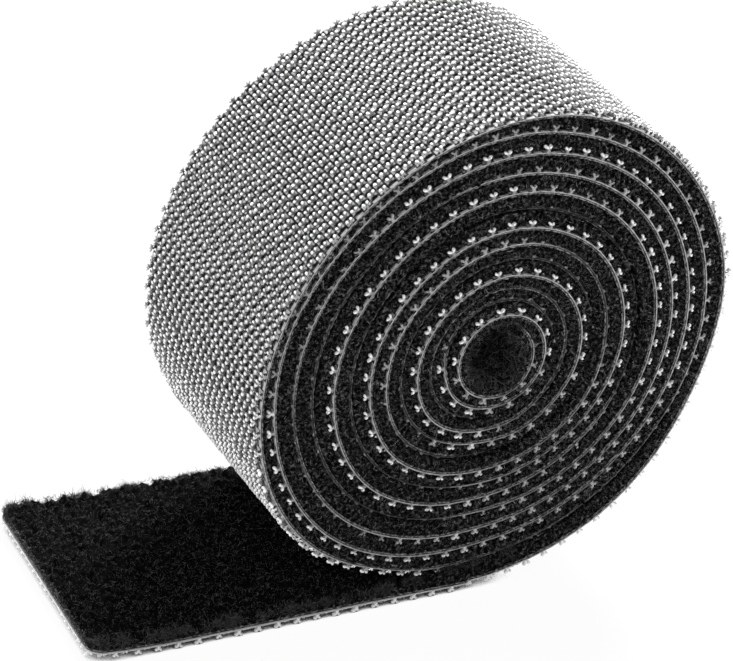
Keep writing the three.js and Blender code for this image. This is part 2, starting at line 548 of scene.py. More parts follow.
def hook_shape(tape):
    """Points (along, across, height) of one hook, its faces, and its places in a map cell.

    A hook is a stem with two round lobes, seen from the tape's edge, with its ends bevelled.
    """
    # Half of the outline, along the tape and up: the stem in millimetres, then round one lobe in degrees
    lobe_along, lobe_height, lobe_radius = 0.2 * MM, 0.38 * MM, 0.115 * MM
    lobe_start, lobe_end, lobe_points = -80, 165, 8
    stem = [(0.2, -0.03), (0.16, 0.05), (0.12, 0.12), (0.12, 0.2)]
    half = [(a * MM, h * MM) for a, h in stem]
    for degrees in np.linspace(lobe_start, lobe_end, lobe_points):
        turn = math.radians(degrees)
        half.append((lobe_along + lobe_radius * math.cos(turn), lobe_height + lobe_radius * math.sin(turn)))
    notch = (0.0, 0.3 * MM)
    outline = np.array(half + [notch] + [(-a, h) for a, h in reversed(half)])
    outline[:, 1] *= tape.hook_height / (lobe_height + lobe_radius)

    # The outline's rings through the hook: place as a share of its depth, and scale
    middle = np.array([0.0, 0.5 * tape.hook_height])
    rings = [(-0.5, 0.7), (-0.25, 1.0), (0.25, 1.0), (0.5, 0.7)]
    corners = len(outline)
    points, places = [], []
    for ring, (share, scale) in enumerate(rings):
        drawn = middle + (outline - middle) * scale
        drawn[:, 1] = np.where(outline[:, 1] < 0, outline[:, 1], drawn[:, 1])
        across = np.full(corners, share * tape.hook_depth)
        points.append(np.column_stack([drawn[:, 0], across, drawn[:, 1]]))
        reach = (ring + 1) / len(rings)
        places.append(0.5 + CELL_REACH * reach * (outline - middle) / np.abs(outline - middle).max())
    index = np.arange(corners * len(rings)).reshape(len(rings), corners)
    turned = np.roll(index, -1, axis=1)
    sides = np.stack([index[:-1], index[1:], turned[1:], turned[:-1]], axis=-1).reshape(-1, 4)
    cap = np.array(tessellate_polygon([[Vector((a, h, 0)) for a, h in outline]]))
    caps = np.concatenate([cap[:, ::-1], cap + index[-1, 0]])
    return np.concatenate(points), sides, caps, np.concatenate(places)


def hooks(path, tape, lengths, across, seed):
    """Many hooks at places on the film, each a little turned and leaning."""
    shape, sides, caps, places = hook_shape(tape)
    chance = np.random.default_rng(seed)
    number = len(lengths)
    grown = chance.normal(*HOOK_GROWTH, number)[:, None]
    yaw = chance.normal(0.0, HOOK_YAW, number)[:, None]
    lean = chance.normal(0.0, HOOK_LEAN, number)[:, None]
    along = (shape[:, 0] - shape[:, 1] * yaw) * grown + lean * shape[:, 2]
    aside = (shape[:, 1] + shape[:, 0] * yaw) * grown
    height = shape[:, 2] * grown
    site = by_row(path.at(lengths))
    points = lifted(site, across[:, None] + aside, height)
    points[..., 0] += site.along_x * along
    points[..., 2] += site.along_z * along
    step = np.arange(number)[:, None, None] * len(shape)
    faces = [((sides + step).reshape(-1, 4), HOOK_FINISH), ((caps + step).reshape(-1, 3), HOOK_FINISH)]
    rise = np.clip(shape[:, 2] / tape.hook_height, 0, 1)
    # Only the first row, and the last hooks before the tail's end, lie beside a slit edge
    beside_edge = np.abs(across[:, None]) > path.half_width - 1.5 * tape.hook_margin
    beside_edge |= lengths[:, None] > path.end - tape.hook_pitch
    standing_clear = site.turn > path.turns - LAP_TOP[1]
    slit = beside_edge & ((site.turn < path.turns - LAP_TOP[0]) | standing_clear)
    under = np.where(across[:, None] < 0, site.front_under, site.back_under)
    # Fuzz and painted shade dim hooks behind the next turn's edge; painted shade dims them on the lower
    # right
    fuzz = np.maximum(FUZZ_SHADE * smooth(under / FUZZ_RANGE + 0.5), HOOK_LOW_SHADE * path.low_shade(site))
    bare = SLIT_FOOT + (SLIT_TOP - SLIT_FOOT) * rise
    covered_and_shaded = SLIT_TOP + (1 - SLIT_TOP) * fuzz
    tint = np.where(slit, np.where(fuzz > FUZZ_LEAST, covered_and_shaded, bare), TOP_TINT * rise)
    # Hooks that stand clear are painted white all over: painted light
    tint = np.where(slit & standing_clear, TOP_TINT, tint)
    corner, cell = cells(number)
    place = corner[:, None, :] + cell * places
    on_tape = np.stack([lengths[:, None] + along, across[:, None] + aside, height], axis=-1)
    return Part(points.reshape(-1, 3), faces, tint.ravel(), place.reshape(-1, 2), on_tape.reshape(-1, 3))


def hook_rows(tape):
    """Distance from the first row of hooks to the last, and the number of rows."""
    spread = tape.width - 2 * tape.hook_margin
    return spread, 1 + round(spread / tape.row_pitch)


def hook_places(path, tape, start, end, edge_rows=None):
    """Lattice places of hooks on a stretch of film: every row, or only some rows along both edges."""
    spread, rows = hook_rows(tape)
    lengths, across = [], []
    for row in range(rows):
        if edge_rows is not None and edge_rows <= row < rows - edge_rows:
            continue
        offset = 0.5 * (row % 2)
        numbers = np.arange(math.ceil(start / tape.hook_pitch - offset), end / tape.hook_pitch - offset)
        lengths.append((numbers + offset) * tape.hook_pitch)
        across.append(np.full(len(numbers), (row / (rows - 1) - 0.5) * spread))
    lengths, across = np.concatenate(lengths), np.concatenate(across)
    inside = np.abs(across) < path.width_share(lengths + tape.hook_margin) * path.half_width
    kept = inside & (lengths > tape.end_margin) & (lengths < path.end - tape.end_margin)
    return lengths[kept], across[kept]


def fibres(roots, on_tape, headings, lengths, arcs, radius, tint):
    """Many fibres, each a closed three-sided tube along an arc that thins towards its tip."""
    rings, sides, taper = 4, 3, 0.55
    share = np.linspace(0, 1, rings)[:, None]
    chance = np.random.default_rng(len(roots))
    first = np.cross(headings, chance.normal(0.0, 1.0, headings.shape))
    first /= np.linalg.norm(first, axis=1, keepdims=True)
    second = np.cross(headings, first)
    arc = arcs[:, None, None]
    bow = headings[:, None] * np.sin(arc * share) + first[:, None] * (1 - np.cos(arc * share))
    spine = roots[:, None] + lengths[:, None, None] / arc * bow
    turn = FULL_TURN * np.arange(sides) / sides
    ring = first[:, None] * np.cos(turn)[:, None] + second[:, None] * np.sin(turn)[:, None]
    thick = radius * (1 - taper * share)
    points = spine[:, :, None] + ring[:, None] * thick[:, None]
    number = len(roots)
    index = np.arange(rings * sides).reshape(rings, sides)
    turned = np.roll(index, -1, axis=1)
    walls = np.stack([index[:-1], index[1:], turned[1:], turned[:-1]], axis=-1).reshape(-1, 4)
    ends = np.stack([index[0, ::-1], index[-1]])
    step = np.arange(number)[:, None, None] * rings * sides
    faces = [((walls + step).reshape(-1, 4), FIBRE_FINISH), ((ends + step).reshape(-1, 3), FIBRE_FINISH)]
    corner, cell = cells(number)
    local = np.stack(np.meshgrid(np.arange(sides) / sides, share), axis=-1).reshape(-1, 2)
    place = corner[:, None, :] + cell * (CELL_MARGIN + (1 - 2 * CELL_MARGIN) * local)
    per_fibre = rings * sides
    tapes = np.repeat(on_tape, per_fibre, axis=0)
    return Part(points.reshape(-1, 3), faces, np.repeat(tint, per_fibre), place.reshape(-1, 2), tapes)


# A stretch of tape that crosses one bend: the bodies before and after it, its lengths along the tape, and
# the length at which the bend is over
Span = namedtuple("Span", "before after start end bent")


def bending_spans(path):
    """The stretches that bend, in order along the tape, each cut halfway between two bends."""
    bends = sorted((path.length_near(joint["pos_m"]), joint["name"]) for joint in JOINTS.values())
    lengths = [length for length, _ in bends]
    cuts = [lengths[0] - 0.5 * (lengths[1] - lengths[0])]
    cuts += [0.5 * (a + b) for a, b in zip(lengths, lengths[1:])]
    cuts.append(0.5 * (lengths[-1] + path.end))
    spans, body = [], "roll"
    for (_, name), start, bent in zip(bends, cuts, cuts[1:]):
        joint = JOINTS[name]
        after = joint["child"] if joint["parent"] == body else joint["parent"]
        end = bent if bent < cuts[-1] else path.end
        spans.append(Span(body, after, start, end, bent))
        body = after
    return spans


def path_point(path, length):
    site = path.at(length)
    return float(site.x), 0.0, float(site.z)


def bend_piece(piece, path, span, layer):
    """Bakes a piece's place into its mesh and hides the stretch of the layer it stands for; nothing bends
    it.
    """
    start = path_point(path, span.start)
    end = path_point(path, span.bent)
    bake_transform(piece)
    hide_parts(f"{layer}_{span.after}")


def ride_roll(piece, layer):
    """Fixes a piece to the wound turns."""
    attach(piece, "roll")
    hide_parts(f"{layer}_wound")


def add_node(tree, kind, inputs=None, stops=(), **settings):
    """Adds a node with its settings, values or links on its inputs, and colour stops if it has any."""
    node = tree.nodes.new(kind)
    for name, value in settings.items():
        setattr(node, name, value)
    for name, value in (inputs or {}).items():
        if isinstance(value, bpy.types.NodeSocket):
            tree.links.new(value, node.inputs[name])
        else:
            node.inputs[name].default_value = value
    for number, (position, value) in enumerate(stops):
        elements = node.color_ramp.elements
        element = elements[number] if number < len(elements) else elements.new(position)
        element.position = position
        element.color = (*value, 1.0)
    return node


def new_material(name):
    """A material with an empty node tree, and the tree."""
    material = bpy.data.materials.new(name)
    material.use_nodes = True
    material.node_tree.nodes.clear()
    return material, material.node_tree


# Sockets of a Mix node that blends colours: the two colours, and the blend
FIRST, SECOND, BLEND = 6, 7, 2


def shaded(value, factor):
    return [channel * factor for channel in value]


def per(millimetres):
    """Scale of a pattern whose features are of a real size."""
    return 1 / (millimetres * MM)


def moulded_hook_plastic(finish):
    """Moulded natural polypropylene: clear stems, a foot partly in painted shade, lobes white with a
    painted highlight, and grey where fuzz and painted shade cover them.
    """
    material, tree = new_material("moulded polypropylene hooks")
    height = add_node(tree, "ShaderNodeAttribute", attribute_name="tint")
    stem, tip = finish.hook_stem, finish.hook_tip_highlight
    # Dark hook feet, partly black ground seen through the clear plastic and partly painted shade, and a
    # painted highlight at the tops; beside the slit edges the stems are a darker grey; under fuzz and
    # painted shade the hooks run from a shaded copy of the highlight to the fibres' colour
    in_field = [
        (0.06, finish.film_line), (0.16, shaded(stem, 0.3)),
        (0.28, stem), (0.37, shaded(stem, 0.9)), (0.47, tip)]
    beside_edge = [
        (0.5, tip), (0.515, shaded(stem, 0.3)), (0.6, shaded(stem, 0.45)), (0.645, tip), (0.7, tip)]
    under_fuzz_and_shade = [(0.76, shaded(tip, 0.35)), (1.0, finish.fibre)]
    colours = add_node(tree, "ShaderNodeValToRGB", {"Fac": height.outputs["Fac"]},
                       stops=in_field + beside_edge + under_fuzz_and_shade)
    clear = add_node(tree, "ShaderNodeMapRange", {
        "Value": height.outputs["Fac"], "From Min": 0.35, "From Max": 0.45, "To Min": 0.9, "To Max": 0.1})
    tape = add_node(tree, "ShaderNodeAttribute", attribute_name="tape")
    grain = add_node(tree, "ShaderNodeTexNoise", {"Vector": tape.outputs["Vector"], "Scale": per(0.6)})
    rough = add_node(tree, "ShaderNodeMapRange", {
        "Value": grain.outputs["Fac"], "To Min": 0.15, "To Max": 0.3})
    shader = add_node(tree, "ShaderNodeBsdfPrincipled", {
        "Base Color": colours.outputs["Color"], "Roughness": rough.outputs["Result"], "IOR": 1.49,
        "Transmission Weight": clear.outputs["Result"], "Subsurface Weight": 0.6,
        "Subsurface Radius": (1.0, 1.0, 1.0), "Subsurface Scale": 0.25 * MM})
    add_node(tree, "ShaderNodeOutputMaterial", {"Surface": shader.outputs["BSDF"]})
    return material


# Where dark lines show in the film, from faint to full: those across the tape in columns away from the
# nearest hooks, and those along it in rows, shifted so that they lie in front of the hooks
ACROSS_LINE = (0.39, 0.43)
ALONG_LINE = (0.56, 0.64)
ALONG_SHIFT = 1.38


def extruded_film(finish, tape_sizes):
    """Clear extruded polypropylene film: grey, with the black ground showing as lines round the hooks."""
    material, tree = new_material("extruded polypropylene film")
    tape = add_node(tree, "ShaderNodeAttribute", attribute_name="tape")
    place = add_node(tree, "ShaderNodeSeparateXYZ", {"Vector": tape.outputs["Vector"]})
    spread, rows = hook_rows(tape_sizes)
    first_row = (rows - 1) / 2 + ALONG_SHIFT
    column = add_node(tree, "ShaderNodeMath", {0: place.outputs["X"], 1: 2 / tape_sizes.hook_pitch},
                      operation="MULTIPLY")
    nearest = add_node(tree, "ShaderNodeMath", {0: column.outputs[0]}, operation="ROUND")
    row = add_node(tree, "ShaderNodeMath", {
        0: place.outputs["Y"], 1: (rows - 1) / spread, 2: first_row}, operation="MULTIPLY_ADD")
    pair = add_node(tree, "ShaderNodeMath", {0: row.outputs[0], 1: nearest.outputs[0]}, operation="ADD")
    beside = add_node(tree, "ShaderNodeMath", {0: column.outputs[0], 1: 0.5}, operation="PINGPONG")
    between = add_node(tree, "ShaderNodeMath", {0: pair.outputs[0], 1: 1.0}, operation="PINGPONG")
    across_line = add_node(tree, "ShaderNodeMapRange", {
        "Value": beside.outputs[0], "From Min": ACROSS_LINE[0], "From Max": ACROSS_LINE[1]})
    along_line = add_node(tree, "ShaderNodeMapRange", {
        "Value": between.outputs[0], "From Min": ALONG_LINE[0], "From Max": ALONG_LINE[1]})
    lines = add_node(tree, "ShaderNodeMath", {0: across_line.outputs[0], 1: along_line.outputs[0]},
                     operation="MAXIMUM")
    clouds = add_node(tree, "ShaderNodeTexNoise", {
        "Vector": tape.outputs["Vector"], "Scale": per(0.35), "Detail": 3.0})
    broken = add_node(tree, "ShaderNodeMapRange", {
        "Value": clouds.outputs["Fac"], "From Min": 0.45, "From Max": 0.65, "To Min": 1.0, "To Max": 0.7})
    shown = add_node(tree, "ShaderNodeMath", {0: lines.outputs[0], 1: broken.outputs["Result"]},
                     operation="MULTIPLY")
    plain = add_node(tree, "ShaderNodeValToRGB", {"Fac": clouds.outputs["Fac"]}, stops=[
        (0.35, shaded(finish.film_face, 0.6)), (0.65, shaded(finish.film_face, 1.3))])
    colours = add_node(tree, "ShaderNodeMix", {
        "Factor": shown.outputs[0], FIRST: plain.outputs["Color"], SECOND: (*finish.film_line, 1.0)},
        data_type="RGBA")
    rough = add_node(tree, "ShaderNodeMapRange", {
        "Value": clouds.outputs["Fac"], "To Min": 0.35, "To Max": 0.55})
    shader = add_node(tree, "ShaderNodeBsdfPrincipled", {
        "Base Color": colours.outputs[BLEND], "Roughness": rough.outputs["Result"], "IOR": 1.49,
        "Specular IOR Level": 0.04})
    add_node(tree, "ShaderNodeOutputMaterial", {"Surface": shader.outputs["BSDF"]})
    return material


def slit_film_edge(finish):
    """The film's slit edge: stress-whitened plastic in bright and dull runs, dark under fuzz and painted
    shade.
    """
    material, tree = new_material("slit polypropylene edge")
    tape = add_node(tree, "ShaderNodeAttribute", attribute_name="tape")
    runs = add_node(tree, "ShaderNodeTexNoise", {
        "Vector": tape.outputs["Vector"], "Scale": per(0.5), "Detail": 3.0})
    bare = add_node(tree, "ShaderNodeValToRGB", {"Fac": runs.outputs["Fac"]}, stops=[
        (0.3, shaded(finish.film_edge, 0.45)), (0.7, shaded(finish.film_edge, 1.4))])
    # Colours of the edge under fuzz and painted shade
    fuzz_and_shade_colours = add_node(tree, "ShaderNodeValToRGB", {"Fac": runs.outputs["Fac"]}, stops=[
        (0.35, shaded(finish.fibre, 0.3)), (0.65, shaded(finish.fibre, 2.0))])
    cover_and_shade = add_node(tree, "ShaderNodeAttribute", attribute_name="tint")
    colours = add_node(tree, "ShaderNodeMix", {
        "Factor": cover_and_shade.outputs["Fac"], FIRST: bare.outputs["Color"], SECOND: fuzz_and_shade_colours.outputs["Color"]},
        data_type="RGBA")
    shader = add_node(tree, "ShaderNodeBsdfPrincipled", {
        "Base Color": colours.outputs[BLEND], "Roughness": 0.5, "IOR": 1.49, "Specular IOR Level": 0.2})
    add_node(tree, "ShaderNodeOutputMaterial", {"Surface": shader.outputs["BSDF"]})
    return material


def laminating_bond(finish):
    """Hot-melt laminating adhesive: a dull dark line with small lumps."""
    material, tree = new_material("hot-melt bond")
    tape = add_node(tree, "ShaderNodeAttribute", attribute_name="tape")
    lumps = add_node(tree, "ShaderNodeTexNoise", {"Vector": tape.outputs["Vector"], "Scale": per(0.3)})
    colours = add_node(tree, "ShaderNodeValToRGB", {"Fac": lumps.outputs["Fac"]}, stops=[
        (0.3, shaded(finish.bond, 0.6)), (0.7, shaded(finish.bond, 1.5))])
    shader = add_node(tree, "ShaderNodeBsdfPrincipled", {
        "Base Color": colours.outputs["Color"], "Roughness": 0.6, "IOR": 1.48, "Specular IOR Level": 0.2})
    add_node(tree, "ShaderNodeOutputMaterial", {"Surface": shader.outputs["BSDF"]})
    return material


def knitted_ground(finish):
    """Knitted nylon ground at its cut edge: yarn ends with dark gaps between them."""
    material, tree = new_material("knitted nylon ground")
    tape = add_node(tree, "ShaderNodeAttribute", attribute_name="tape")
    yarns = add_node(tree, "ShaderNodeTexNoise", {
        "Vector": tape.outputs["Vector"], "Scale": per(0.25), "Detail": 3.0})
    colours = add_node(tree, "ShaderNodeValToRGB", {"Fac": yarns.outputs["Fac"]}, stops=[
        (0.4, shaded(finish.ground, 0.1)), (0.62, finish.ground)])
    shader = add_node(tree, "ShaderNodeBsdfPrincipled", {
        "Base Color": colours.outputs["Color"], "Roughness": 0.8, "IOR": 1.53, "Specular IOR Level": 0.2})
    add_node(tree, "ShaderNodeOutputMaterial", {"Surface": shader.outputs["BSDF"]})
    return material


def brushed_pile(finish):
    """Brushed nylon pile: near black and matt, a nap of curled loops with deep gaps between them."""
    material, tree = new_material("brushed nylon pile")
    tape = add_node(tree, "ShaderNodeAttribute", attribute_name="tape")
    nap = add_node(tree, "ShaderNodeTexNoise", {
        "Vector": tape.outputs["Vector"], "Scale": per(0.3), "Detail": 5.0, "Roughness": 0.7})
    face = add_node(tree, "ShaderNodeValToRGB", {"Fac": nap.outputs["Fac"]}, stops=[
        (0.35, shaded(finish.pile, 0.3)), (0.6, finish.pile), (0.8, shaded(finish.pile, 4.0))])
    cut = add_node(tree, "ShaderNodeValToRGB", {"Fac": nap.outputs["Fac"]}, stops=[
        (0.46, shaded(finish.pile, 0.2)), (0.53, shaded(finish.pile_edge, 0.35)),
        (0.6, shaded(finish.pile_edge, 1.8)), (0.7, shaded(finish.pile_edge, 6.0))])
    edge = add_node(tree, "ShaderNodeAttribute", attribute_name="tint")
    colours = add_node(tree, "ShaderNodeMix", {
        "Factor": edge.outputs["Fac"], FIRST: face.outputs["Color"], SECOND: cut.outputs["Color"]},
        data_type="RGBA")
    bump = add_node(tree, "ShaderNodeBump", {
        "Height": nap.outputs["Fac"], "Strength": 0.9, "Distance": 0.15 * MM})
    shader = add_node(tree, "ShaderNodeBsdfPrincipled", {
        "Base Color": colours.outputs[BLEND], "Roughness": 0.9, "IOR": 1.53, "Specular IOR Level": 0.02,
        "Normal": bump.outputs["Normal"]})
    add_node(tree, "ShaderNodeOutputMaterial", {"Surface": shader.outputs["BSDF"]})
    return material


def nylon_fibre(finish):
    """Loose nylon filaments: mostly near black, a few pale where they catch lint and light."""
    material, tree = new_material("nylon filament")
    share = add_node(tree, "ShaderNodeAttribute", attribute_name="tint")
    colours = add_node(tree, "ShaderNodeValToRGB", {"Fac": share.outputs["Fac"]}, stops=[
        (0.0, shaded(finish.fibre, 0.15)), (0.45, shaded(finish.fibre, 0.5)),
        (0.85, shaded(finish.fibre, 2.2)), (1.0, shaded(finish.fibre, 7.0))])
    shader = add_node(tree, "ShaderNodeBsdfPrincipled", {
        "Base Color": colours.outputs["Color"], "Roughness": 0.55, "IOR": 1.53, "Specular IOR Level": 0.15})
    add_node(tree, "ShaderNodeOutputMaterial", {"Surface": shader.outputs["BSDF"]})
    return material


class TAPEROLL_OT_hook_strip(bpy.types.Operator):
    """Build the moulded film and its hooks along the whole tape"""

    bl_idname = "taperoll.hook_strip"
    bl_label = "Build Hook Strip"

    # Full rows of hooks cover the turns that show; further in, only rows near the edges can be seen
    FULL_TURNS = 1.5
    EDGE_ROWS = 3
    HOOKS_IN_PIECE = 1100
    STEP = 0.25 * MM

    # How far the slit edges are uneven, in waves between two lengths, and their seed
    UNEVEN = 0.015 * MM
    UNEVEN_WAVES = (0.4 * MM, 4 * MM)
    UNEVEN_SEED = 11

    # First seed of the hooks on the roll; those on the bends are counted from 0
    WOUND_SEED = 100

    # How far an edge lies behind its neighbours before fuzz and painted shade begin to cover it, and until
    # it is covered
    BARE, COVERED = 0.1 * MM, 0.4 * MM

    # How far painted shade darkens the edges on the lower right of the wound turns
    EDGE_LOW_SHADE = 0.8

    # Tint of the tail's slit edges on the scale of the hooks' tints: near the lobes' white, painted light
    TAIL_EDGE_LIGHT = 0.43

    # Finish numbers of the piece's materials
    HOOK, FACE, EDGE = HOOK_FINISH, 1, 2

    def execute(self, context):
        settings = context.scene.tape_roll
        self.tape = settings.tape
        self.path = path = TapePath(settings.tape, settings.roll)
        finish = settings.finish
        film = extruded_film(finish, self.tape)
        self.finishes = [moulded_hook_plastic(finish), film, slit_film_edge(finish)]
        spans = bending_spans(path)
        for order, span in enumerate(spans):
            lattice = hook_places(path, self.tape, span.start, span.end)
            on_tail = not span.after.startswith("lap")
            parts = [self.film(span.start, span.end, on_tail), hooks(path, self.tape, *lattice, seed=order)]
            bend_piece(make_piece(f"hook_film_{span.after}", parts, self.finishes), path, span, "hook_strip")
        wound_end = spans[0].start
        full_start = path.length_at_turn(path.turns - self.FULL_TURNS)
        wound = make_piece("hook_film_wound", [self.film(0.0, full_start)], self.finishes)
        ride_roll(wound, "hook_strip")
        outer = make_piece("hook_film_outer", [self.film(full_start, wound_end)], self.finishes)
        self.ride(outer)
        self.wound_hooks("outer_hooks", hook_places(path, self.tape, full_start, wound_end))
        self.wound_hooks("edge_hooks", hook_places(path, self.tape, 0.0, full_start, self.EDGE_ROWS))
        return {"FINISHED"}

    def ride(self, piece):
        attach(piece, "roll")

    def film(self, start, end, on_tail=False):
        """A stretch of film with uneven slit edges, as pale as hooks on the tail, where that is painted
        light.
        """
        path = self.path
        stations = path.stations(start, end, self.STEP)
        along = stations[:, None]
        uneven = self.UNEVEN * waves(along, np.zeros((1, 4)), *self.UNEVEN_WAVES, self.UNEVEN_SEED)
        across = np.array([-1.0, 1.0, 1.0, -1.0]) * (path.half_width + uneven)
        height = np.array([0.0, 0.0, -self.tape.film, -self.tape.film])
        # On the tail the edges take the hooks' material at a pale tint: painted light
        edge = self.HOOK if on_tail else self.EDGE
        finishes = [self.FACE, edge, edge, edge]
        site = path.at(stations)
        sunk = np.stack([site.front_sunk, site.back_sunk, site.back_sunk, site.front_sunk], axis=1)
        # Edges that stand back darken with fuzz and painted shade, and those on the lower right with painted
        # shade
        cover_and_shade = smooth((sunk - self.BARE) / (self.COVERED - self.BARE))
        cover_and_shade = np.maximum(cover_and_shade, self.EDGE_LOW_SHADE * path.low_shade(site)[:, None])
        tint = self.TAIL_EDGE_LIGHT if on_tail else cover_and_shade
        return sweep(path, stations, across, height, finishes, edge, tint)

    def wound_hooks(self, name, places):
        """Hooks that ride on the roll, in pieces of a limited size, in order along the tape."""
        lengths, across = places
        order = np.argsort(lengths, kind="stable")
        groups = np.array_split(order, math.ceil(len(order) / self.HOOKS_IN_PIECE))
        for number, group in enumerate(groups):
            part = hooks(self.path, self.tape, lengths[group], across[group], seed=self.WOUND_SEED + number)
            self.ride(make_piece(f"{name}_{number + 1}", [part], self.finishes))


class TAPEROLL_OT_bond(bpy.types.Operator):
    """Build the bond between the two strips"""

    bl_idname = "taperoll.bond"
    bl_label = "Build Bond"

    STEP = 0.3 * MM

    def execute(self, context):
        settings = context.scene.tape_roll
        path = TapePath(settings.tape, settings.roll)
        finishes = [laminating_bond(settings.finish)]
        spans = bending_spans(path)
        for span in spans:
            part = self.line(path, settings.tape, span.start, span.end)
            bend_piece(make_piece(f"bond_line_{span.after}", [part], finishes), path, span, "bond")
        part = self.line(path, settings.tape, 0.0, spans[0].start)
        ride_roll(make_piece("bond_line_wound", [part], finishes), "bond")
        return {"FINISHED"}

    def line(self, path, tape, start, end):
        top, bottom = -tape.film, -tape.film - tape.bond
        stations = path.stations(start, min(end, path.end - tape.ledge), self.STEP)
        across = np.array([-1.0, 1.0, 1.0, -1.0]) * backing_half(path, tape, stations)[:, None]
        height = np.array([top, top, bottom, bottom])
        return sweep(path, stations, across, height, [0], 0)


class TAPEROLL_OT_loop_strip(bpy.types.Operator):
    """Build the knitted ground with its brushed pile and loose fibres"""

    bl_idname = "taperoll.loop_strip"
    bl_label = "Build Loop Strip"

    WOUND_PIECES = 8
    STEP = 0.15 * MM

    # Space that pressed pile leaves above the film of the turn inside, and limits of its thickness
    PRESS_GAP = 0.06 * MM
    THICKEST_PILE = 1.6 * MM
    THINNEST_PILE = 0.1 * MM

    # How far the ground's edges are ragged, in waves between two lengths, and their seed
    RAGGED = 0.05 * MM
    RAGGED_WAVES = (0.15 * MM, 1 * MM)
    RAGGED_SEED = 12

    # Lengths of the waves in the pile's face and in its cut edges, how far those edges are uneven, and how
    # far, and from which share of the half width on, the face is rounded towards them
    FACE_WAVES = (0.5 * MM, 3 * MM)
    EDGE_WAVES = (0.2 * MM, 1.2 * MM)
    EDGE_RELIEF = 0.07 * MM
    EDGE_ROUNDING = 0.12 * MM
    ROUNDED_FROM = 0.97

    # Points across an open face, places of those across a covered one as shares of the half width, and
    # points down a cut edge
    OPEN_POINTS = 81
    COVERED_PLACES = [1.0, 0.985, 0.96, 0.9, 0.6]
    EDGE_POINTS = 5

    # How deep the pile is rooted in the ground, and fibres in the pile's face, in its edges and in its end
    # at the tip, and how far in from the edge the tufts reach
    PILE_ROOT = 0.02 * MM
    FACE_ROOT = 0.08 * MM
    EDGE_ROOT = 0.06 * MM
    TIP_ROOT = 0.05 * MM
    TUFT_DEPTH = 0.5 * MM

    # First seeds of the fibres: on open faces and their edges, at the tip, in the bore and on wound edges
    FACE_SEED, EDGE_SEED, TIP_SEED, BORE_SEED, WOUND_SEED = 200, 300, 350, 400, 500

    # Turn at which the open pile of the bore ends, and share of a turn in which it comes to be pressed
    BORE_END = 1.05
    BORE_EASE = 0.1

    # How far the pile may stand back behind the turn inside it before it bulges out over that turn's hooks
    BULGE_START = 0.08 * MM

    # Fibres deep in the bore can't be seen, so it has them only near both ends; its face is a little paler
    BORE_REACH = 5.5 * MM
    BORE_TINT = 0.9

    # Distance between the tufts along the tail's edges
    TUFT_PITCH = 0.5 * MM

    # The open face has no fibres of the palest tints
    FACE_TINT = 0.8

    # Least and greatest angle through which a fibre curls
    ARCS = (1.2, 3.6)

    # Least and greatest share of their usual length that fibres have: on faces and edges, in the bore and at
    # the tip, and that tufts have and the fibres in a tuft
    FIBRE_SHARES = (0.6, 1.4)
    BORE_SHARES = (0.4, 1.8)
    TIP_SHARES = (0.4, 1.2)
    TUFT_SHARES = (0.5, 1.4)
    IN_TUFT_SHARES = (0.4, 1.0)

    # Headings: mean and spread of those of a face's fibres out from it, spread of those of an edge's fibres
    # along it and out from it, and least of those of tufts out from it
    FACE_OUT = (-0.8, 0.4)
    EDGE_SPREAD = 1.2
    TUFT_OUT = 0.4

    # Range of tints in the bore, and how rare pale fibres are on the edges
    BORE_TINTS = (0.1, 0.9)
    PALE_POWER = 1.5

    # Finish numbers of the piece's materials
    GROUND, PILE = 0, 1

    def execute(self, context):
        settings = context.scene.tape_roll
        self.tape, self.pile = settings.tape, settings.pile
        self.path = path = TapePath(settings.tape, settings.roll)
        self.ground_top = -self.tape.film - self.tape.bond
        self.ground_bottom = self.ground_top - self.tape.ground
        finishes = [make(settings.finish) for make in (knitted_ground, brushed_pile, nylon_fibre)]
        spans = bending_spans(path)
        for order, span in enumerate(spans):
            on_lap = span.after.startswith("lap")
            density = self.pile.lap_fibres if on_lap else self.pile.face_fibres
            parts = [self.ground(span.start, span.end), self.slab(span.start, span.end, True),
                     self.face_fibres(span.start, span.end, density, self.FACE_SEED + order),
                     self.edge_fibres(span.start, span.end, not on_lap, self.EDGE_SEED + order)]
            if span.end == path.end:
                parts.append(self.tip_fibres())
            bend_piece(make_piece(f"pile_{span.after}", parts, finishes), path, span, "loop_strip")
        bore_end = path.length_at_turn(self.BORE_END)
        cuts = np.concatenate([[0.0], np.linspace(bore_end, spans[0].start, self.WOUND_PIECES)])
        for order, (start, end) in enumerate(zip(cuts, cuts[1:])):
            in_bore = order == 0
            parts = [self.ground(start, end), self.slab(start, end, in_bore, self.BORE_TINT),
                     self.edge_fibres(start, end, False, self.WOUND_SEED + order)]
            if in_bore:
                parts.append(self.bore_fibres(start, end))
            piece = make_piece(f"pile_wound_{order + 1}", parts, finishes)
            if in_bore:
                ride_roll(piece, "loop_strip")
            else:
                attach(piece, "roll")
        return {"FINISHED"}

    def pile_height(self, length):
        """Height of the pile along the tape: free in the bore and on the tail, pressed between the turns."""
        site = self.path.at(length)
        room = site.gap + self.ground_bottom - self.PRESS_GAP
        pressed = np.clip(room, self.THINNEST_PILE, self.THICKEST_PILE)
        free = np.maximum(self.path.free(length), smooth((self.BORE_END - site.turn) / self.BORE_EASE))
        return pressed + (self.tape.pile - pressed) * free

    def relief(self, length, across):
        taller = 1 + self.path.free(length)
        return taller * self.pile.relief * waves(length, across, *self.FACE_WAVES, self.pile.seed)

    def edges(self, length):
        """Where the pile's front and back edges are across the tape."""
        site = self.path.at(length)
        free = self.path.free(length)
        half = self.path.half_width - self.pile.recess - (self.pile.tail_recess - self.pile.recess) * free
        front = half + np.maximum(site.lead - self.BULGE_START, 0)
        back = half + np.maximum(-site.lead - self.BULGE_START, 0)
        return -front, back

